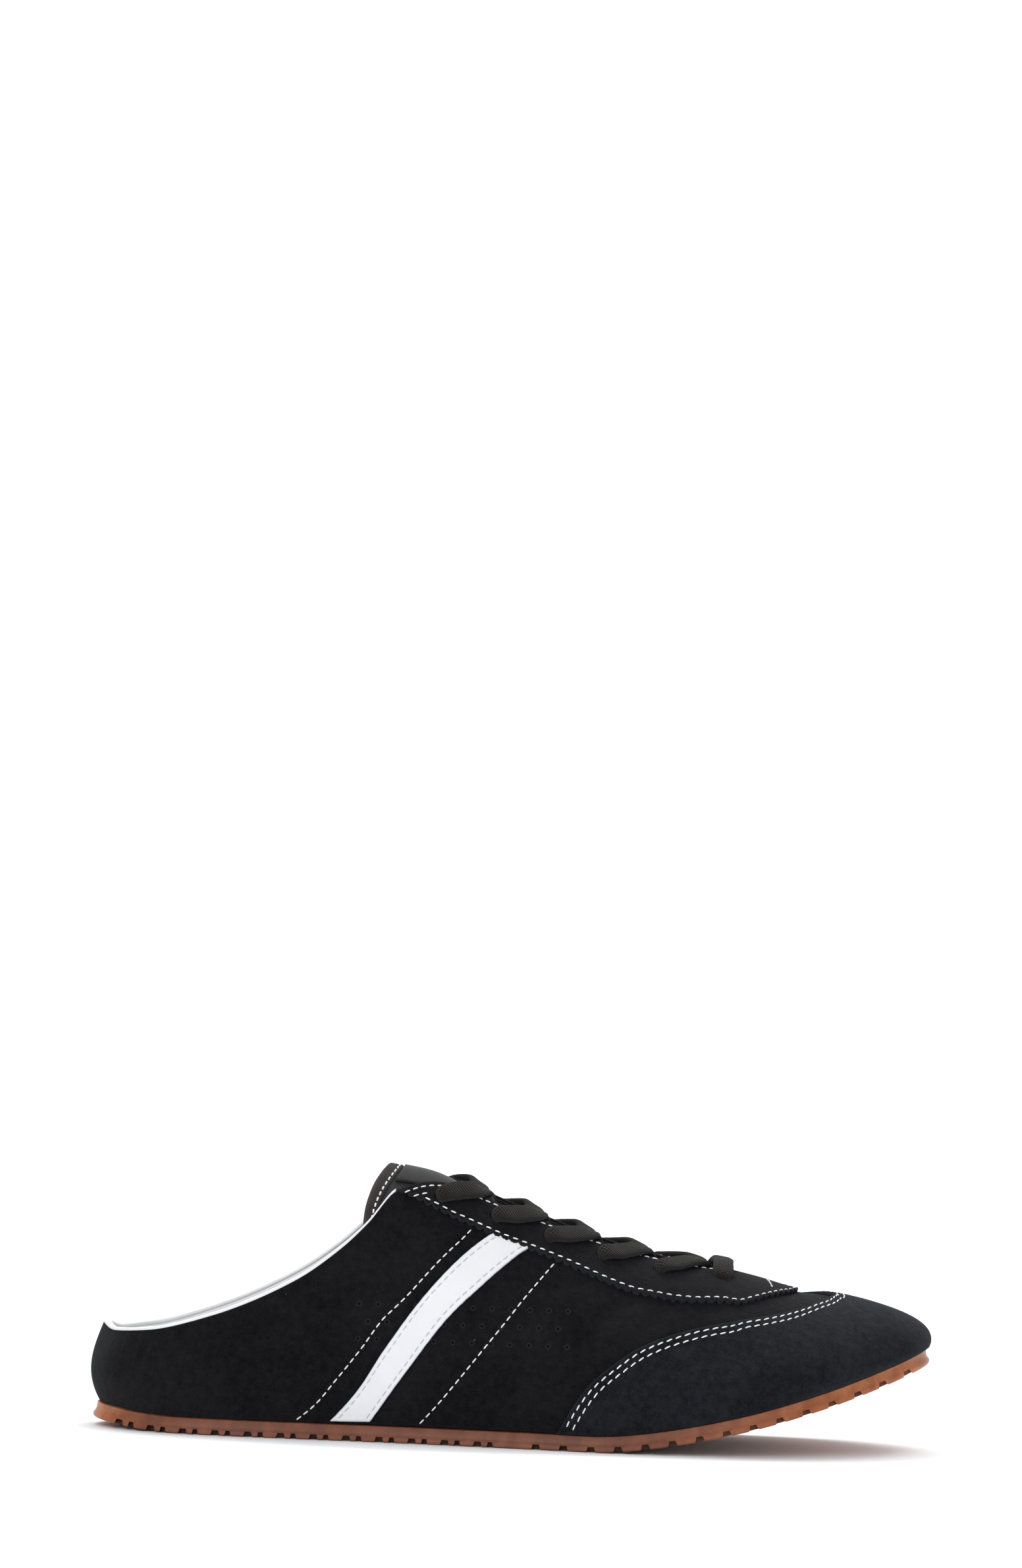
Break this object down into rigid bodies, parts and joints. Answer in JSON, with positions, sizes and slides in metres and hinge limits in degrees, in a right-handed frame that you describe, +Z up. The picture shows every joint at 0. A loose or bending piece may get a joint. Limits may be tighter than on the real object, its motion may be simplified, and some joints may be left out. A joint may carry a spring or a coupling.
{
  "type": "mule",
  "caption": "Right shoe: low-backed suede sneaker mule with a laced throat, wing toe cap, white leather collar edge and thin gum rubber sole.",
  "frame": {"origin": "on the floor, under the middle of the shoe's bounding box", "axes": "+X to the toe, -Y the outer side of the foot, +Z up from the floor"},
  "size_m": [0.2642, 0.088, 0.0855],
  "materials": {
    "gum": "satin, gum brown",
    "insole_cloth": "matt, off-white",
    "suede": "napped suede, black",
    "cap_suede": "napped suede, blue-black",
    "leather": "smooth, white",
    "tongue_cloth": "matt, black",
    "twill": "matt twill tape, brown-black",
    "satin": "satin weave, dark grey",
    "lace_cotton": "matt flat braid, brown-black"
  },
  "bodies": {
    "root": {"outsole": "gum", "insole": "insole_cloth", "upper": "suede", "toe_cap": "cap_suede", "eyestay": "suede", "collar_edge": "leather", "tongue": "tongue_cloth", "tongue_binding": "twill", "tongue_label": "satin", "side_bar_outer": "leather", "side_bar_inner": "leather", "lace_bar": "lace_cotton", "lace_crossing_1": "lace_cotton", "lace_crossing_2": "lace_cotton", "lace_crossing_3": "lace_cotton", "lace_crossing_4": "lace_cotton", "lace_crossing_5": "lace_cotton"}
  },
  "joints": []
}
